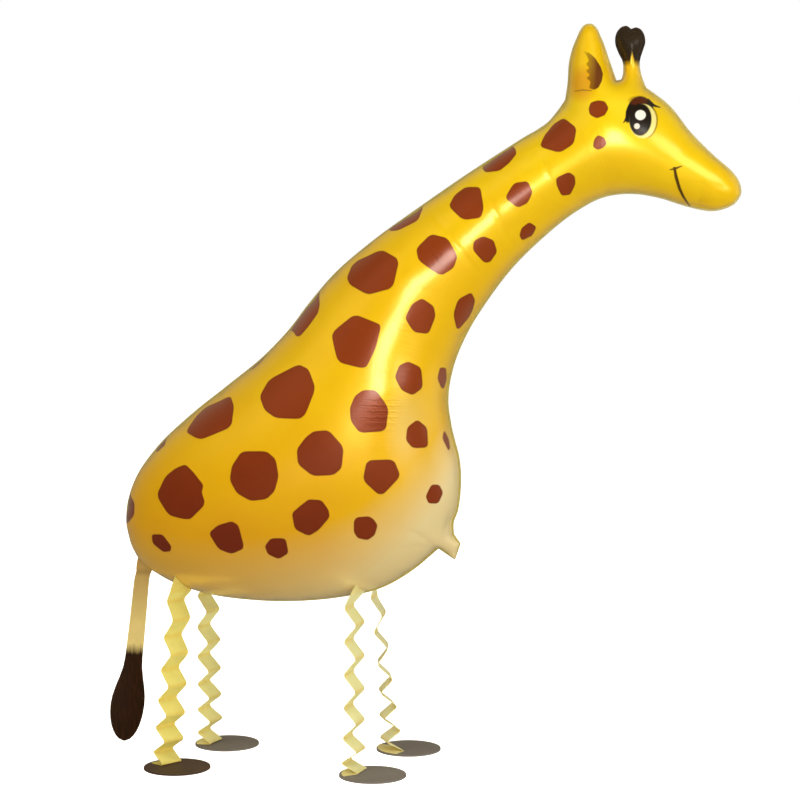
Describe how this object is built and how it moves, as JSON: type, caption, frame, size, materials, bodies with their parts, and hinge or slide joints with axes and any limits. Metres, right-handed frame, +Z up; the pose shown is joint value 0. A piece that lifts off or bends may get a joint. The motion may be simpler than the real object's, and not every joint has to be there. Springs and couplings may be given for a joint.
{
  "type": "giraffe foil balloon",
  "caption": "Inflated foil balloon in the shape of a giraffe, standing on folded paper legs with round card feet, with a flat tail.",
  "frame": {"origin": "on the surface that the balloon stands on, under the middle of its bounding box", "axes": "+X the way the giraffe faces, +Y its left side, +Z up"},
  "size_m": [0.7632, 0.2408, 0.8852],
  "materials": {
    "printed_foil": "metallised film printed yellow with brown spots, soft gloss, puckered along the seam",
    "leg_paper": "yellow coloured paper strip, matt, sharply folded",
    "foot_card": "dark grey-brown card, matt",
    "tail_foil": "thin film printed tan above and dark brown at the tuft"
  },
  "bodies": {
    "root": {"foil_envelope": "printed_foil", "leg_rear_right": "leg_paper", "leg_rear_left": "leg_paper", "leg_front_right": "leg_paper", "leg_front_left": "leg_paper", "foot_rear_right": "foot_card", "foot_rear_left": "foot_card", "foot_front_right": "foot_card", "foot_front_left": "foot_card", "tail": "tail_foil"}
  },
  "joints": []
}
